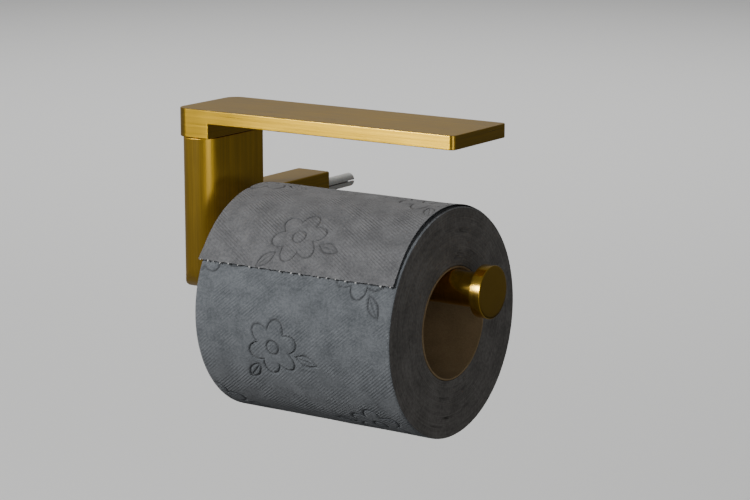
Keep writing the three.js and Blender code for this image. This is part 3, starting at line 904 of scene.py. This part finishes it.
pressed, torn = [], []
for vertex in sheet.data.vertices:
    u, v = (vertex.co.x + 0.5) * sheet_width, (vertex.co.y + 0.5) * SHEET_LENGTH
    torn.append(1.0 if v < 0.4 * MM and bridge_height(u) > 0.3 * MM else 0.0)
    pressed.append(pressed_depth(u, v, SHEET_FLOWER, SHEET_ROWS) / LINE_DEPTH)
    v -= tear(u) * max(0.0, 1 - v / (1.2 * MM))
    turn = TEAR_ANGLE + v / (high.z - roll_middle[1])
    to_right = (sheet_width - u) / sheet_width
    along = v / SHEET_LENGTH
    slip = 0.5 * MM * math.sin(math.pi * min(1.0, along * 1.8 + 0.12)) ** 2
    lift_right = 1.0 * MM * max(0.0, 1 - to_right * 9) ** 1.5 * math.sin(math.pi * min(1, along * 1.7))
    lift_front = 0.85 * MM * max(0.0, 1 - along * 22) * (0.8 + 0.5 * noise.noise((u * 90, 1.7, 0)))
    settle = 0.12 * MM * noise.noise((u * 45, v * 45, 5.5)) + 0.14 * MM
    reach = SHEET_INSIDE + settle + max(0.0, lift_right) + max(0.0, lift_front)
    reach -= pressed[-1] * LINE_DEPTH * 0.7
    x = low.x + u - slip * max(0.0, 1 - to_right * 3)
    vertex.co = (x, roll_middle[0] - reach * math.cos(turn), roll_middle[1] + reach * math.sin(turn))
# The depth is kept for the tissue material, which paints shade into the pressed grooves from it.
keep_value(sheet, "pressed", pressed)
keep_value(sheet, "torn", torn)
edit(sheet, True)
bpy.ops.mesh.select_all(action="SELECT")
bpy.ops.mesh.normals_make_consistent(inside=False)
edit(sheet, False)
if sheet.data.polygons[0].normal.dot(sheet.data.polygons[0].center - Vector((0, *roll_middle))) < 0:
    sheet.data.flip_normals()
wall = sheet.modifiers.new("thickness", "SOLIDIFY")
wall.thickness = SHEET_THICKNESS
wall.offset = 1
bpy.context.view_layer.objects.active = sheet
bpy.ops.object.modifier_apply(modifier=wall.name)
finish_piece(sheet, "roll", "grey_paper", ["loose_sheet"], tissue_loose, smooth=60)

# %% [markdown]
# ## Paper tube
# The tube in the roll is wound from two strips of brown card, so a faint seam runs round it in a
# spiral. Its cut ends are a little furry.

# %% Paper tube
card, shader, add, link = new_material("wound_card")
paper = add("ShaderNodeUVMap", uv_map="grain").outputs["UV"]
place = add("ShaderNodeTexCoord").outputs["Object"]
fibres = add("ShaderNodeTexNoise", {"Vector": place, "Scale": 1400.0, "Detail": 5.0})
blotches = add("ShaderNodeTexNoise", {"Vector": place, "Scale": 120.0, "Detail": 4.0})
slanted = add("ShaderNodeMapping", {"Vector": paper, "Rotation": (0, 0, math.radians(34))})
seams = add(
    "ShaderNodeTexWave",
    {"Vector": slanted.outputs["Vector"], "Scale": 5.2, "Distortion": 0.0},
    wave_profile="SAW",
)
mixed = add("ShaderNodeMath", {0: fibres.outputs["Fac"], 1: blotches.outputs["Fac"]}, operation="ADD")
tone = add("ShaderNodeMath", {0: mixed.outputs[0], 1: 0.5}, operation="MULTIPLY").outputs[0]
browns = [(0.35, (0.21, 0.145, 0.070)), (0.65, (0.31, 0.220, 0.115))]
link(ramp(add, tone, browns), shader.inputs["Base Color"])
step = add("ShaderNodeBump", {"Height": seams.outputs["Fac"], "Strength": 0.3, "Distance": 0.0002})
fuzz = add("ShaderNodeBump", {"Height": tone, "Strength": 0.5, "Distance": 0.0001,
                              "Normal": step.outputs["Normal"]})
link(fuzz.outputs["Normal"], shader.inputs["Normal"])
shader.inputs["Roughness"].default_value = 0.88

tube_out = (core_high.z - core_low.z) / 2
tube_in = tube_out - 0.8 * MM
tube = start_rod("card_tube", core_low.x, core_high.x, roll_middle, tube_out, 192)
edit(tube, True)
pick(tube, "faces", lambda f: abs(f.normal.x) > 0.9)
bpy.ops.mesh.inset(thickness=tube_out - tube_in, depth=0)
pick(tube, "faces", lambda f: abs(f.normal.x) > 0.9 and len(f.verts) > 8)
bpy.ops.mesh.bridge_edge_loops()
edit(tube, False)
soften(tube, 0.15 * MM, segments=2)
for vertex in tube.data.vertices:
    y, z = vertex.co.y - roll_middle[0], vertex.co.z - roll_middle[1]
    turn = math.atan2(z, y)
    furry = 0.12 * MM * noise.noise((math.cos(turn) * 30, math.sin(turn) * 30, vertex.co.x * 9))
    if near(vertex.co.x, core_high.x, 0.3 * MM) or near(vertex.co.x, core_low.x, 0.3 * MM):
        vertex.co.x += furry * (-1 if vertex.co.x > 0.05 else 1) * 0.6
map_turning(tube, roll_middle, tube_out)
finish_piece(tube, "roll", "core_card", ["paper_core"], card)
